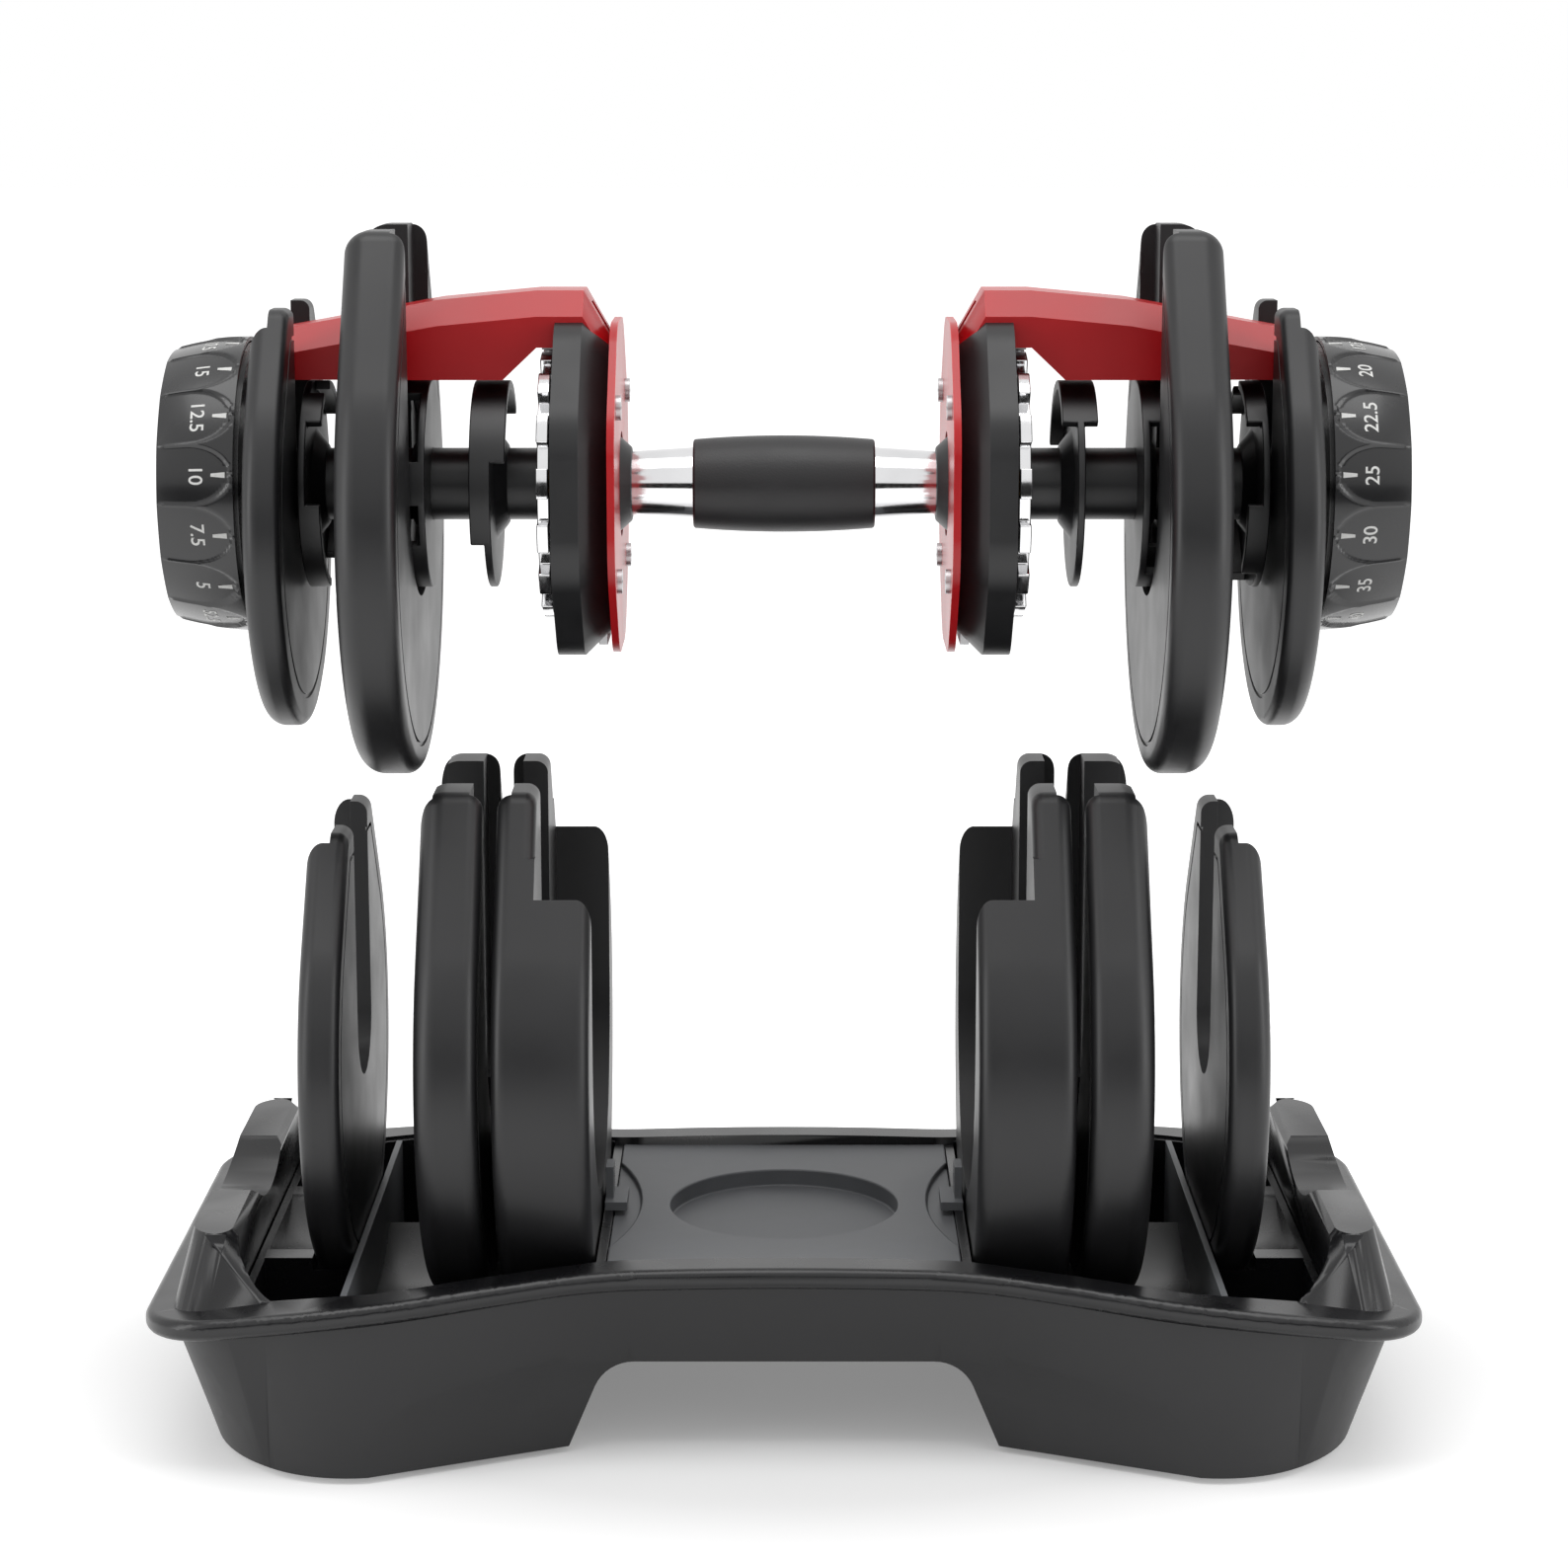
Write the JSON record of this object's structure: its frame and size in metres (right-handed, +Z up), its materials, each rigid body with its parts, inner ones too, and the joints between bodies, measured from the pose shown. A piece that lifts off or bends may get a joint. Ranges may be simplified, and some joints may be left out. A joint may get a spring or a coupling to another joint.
{
  "type": "adjustable dumbbell",
  "caption": "Dial-selected adjustable dumbbell held above its storage tray, with hooked and parked weight plates, lock slides and turning selectors.",
  "frame": {"origin": "middle of the tray's underside, on the floor", "axes": "+X along the handle to the right, +Y from front to back, +Z upwards"},
  "size_m": [0.412, 0.2098, 0.393],
  "materials": {
    "grip_rubber": "matte",
    "chrome_plate": "polished",
    "zinc_steel": "satin",
    "bronze": "satin",
    "black_nylon": "satin",
    "red_gloss": "satin gloss",
    "dial_black": "satin",
    "plate_cover_black": "satin, fine texture",
    "plate_core_steel": "mill",
    "tray_charcoal": "matte, fine texture",
    "tray_black": "satin gloss",
    "tray_grey": "matte, fine texture",
    "foot_rubber": "matte"
  },
  "bodies": {
    "tray": {"tray_base": "tray_charcoal", "tray_rim": "tray_black", "tray_deck": "tray_grey", "left_well": "tray_black", "right_well": "tray_black", "tray_dividers": "tray_grey", "release_posts": "tray_grey", "rubber_feet": "foot_rubber", "tray_screws": "zinc_steel"},
    "handle": {"grip_sleeve": "grip_rubber", "handle_bar": "chrome_plate", "axle_rod": "zinc_steel", "housing_screws": "zinc_steel", "axle_end_nuts": "zinc_steel", "spindle_bushings": "bronze", "left_housing": "black_nylon", "left_hub_collar": "black_nylon", "left_arm_cover": "red_gloss", "left_lock_spring": "zinc_steel", "left_plate_1_cover": "plate_cover_black", "left_plate_1_core": "plate_core_steel", "left_plate_3_cover": "plate_cover_black", "left_plate_3_core": "plate_core_steel", "right_housing": "black_nylon", "right_hub_collar": "black_nylon", "right_arm_cover": "red_gloss", "right_lock_spring": "zinc_steel", "right_plate_1_cover": "plate_cover_black", "right_plate_1_core": "plate_core_steel", "right_plate_3_cover": "plate_cover_black", "right_plate_3_core": "plate_core_steel"},
    "left_selector": {"left_spindle_tube": "black_nylon", "left_index_wheel": "chrome_plate", "left_disc_a": "black_nylon", "left_disc_b": "black_nylon", "left_disc_c": "black_nylon", "left_dial_ring": "dial_black", "left_dial_cap": "dial_black"},
    "right_selector": {"right_spindle_tube": "black_nylon", "right_index_wheel": "chrome_plate", "right_disc_a": "black_nylon", "right_disc_b": "black_nylon", "right_disc_c": "black_nylon", "right_dial_ring": "dial_black", "right_dial_cap": "dial_black"},
    "left_lock": {"left_lock_slide": "zinc_steel"},
    "right_lock": {"right_lock_slide": "zinc_steel"},
    "left_plate_2": {"left_plate_2_cover": "plate_cover_black", "left_plate_2_core": "plate_core_steel"},
    "left_plate_4": {"left_plate_4_cover": "plate_cover_black", "left_plate_4_core": "plate_core_steel"},
    "left_plate_5": {"left_plate_5_cover": "plate_cover_black", "left_plate_5_core": "plate_core_steel"},
    "right_plate_2": {"right_plate_2_cover": "plate_cover_black", "right_plate_2_core": "plate_core_steel"},
    "right_plate_4": {"right_plate_4_cover": "plate_cover_black", "right_plate_4_core": "plate_core_steel"},
    "right_plate_5": {"right_plate_5_cover": "plate_cover_black", "right_plate_5_core": "plate_core_steel"}
  },
  "joints": [
    {"name": "handle_lift", "type": "slide", "parent": "tray", "child": "handle", "axis": [0, 0, 1], "range_m": [-0.181, 0]},
    {"name": "left_dial_turn", "type": "hinge", "parent": "handle", "child": "left_selector", "pos_m": [-0.1, 0, 0.309], "axis": [1, 0, 0], "continuous": true},
    {"name": "right_dial_turn", "type": "hinge", "parent": "handle", "child": "right_selector", "pos_m": [0.1, 0, 0.309], "axis": [1, 0, 0], "continuous": true},
    {"name": "left_lock_travel", "type": "slide", "parent": "handle", "child": "left_lock", "axis": [0, 0, 1], "range_m": [0, 0.004], "stiffness_N_per_m": 400, "springref_m": -0.004, "deforming": ["left_lock_spring"]},
    {"name": "right_lock_travel", "type": "slide", "parent": "handle", "child": "right_lock", "axis": [0, 0, 1], "range_m": [0, 0.004], "stiffness_N_per_m": 400, "springref_m": -0.004, "deforming": ["right_lock_spring"]},
    {"name": "left_plate_2_lift", "type": "slide", "parent": "tray", "child": "left_plate_2", "axis": [0, 0, 1], "range_m": [0, 0.181]},
    {"name": "left_plate_4_lift", "type": "slide", "parent": "tray", "child": "left_plate_4", "axis": [0, 0, 1], "range_m": [0, 0.181]},
    {"name": "left_plate_5_lift", "type": "slide", "parent": "tray", "child": "left_plate_5", "axis": [0, 0, 1], "range_m": [0, 0.181]},
    {"name": "right_plate_2_lift", "type": "slide", "parent": "tray", "child": "right_plate_2", "axis": [0, 0, 1], "range_m": [0, 0.181]},
    {"name": "right_plate_4_lift", "type": "slide", "parent": "tray", "child": "right_plate_4", "axis": [0, 0, 1], "range_m": [0, 0.181]},
    {"name": "right_plate_5_lift", "type": "slide", "parent": "tray", "child": "right_plate_5", "axis": [0, 0, 1], "range_m": [0, 0.181]}
  ]
}
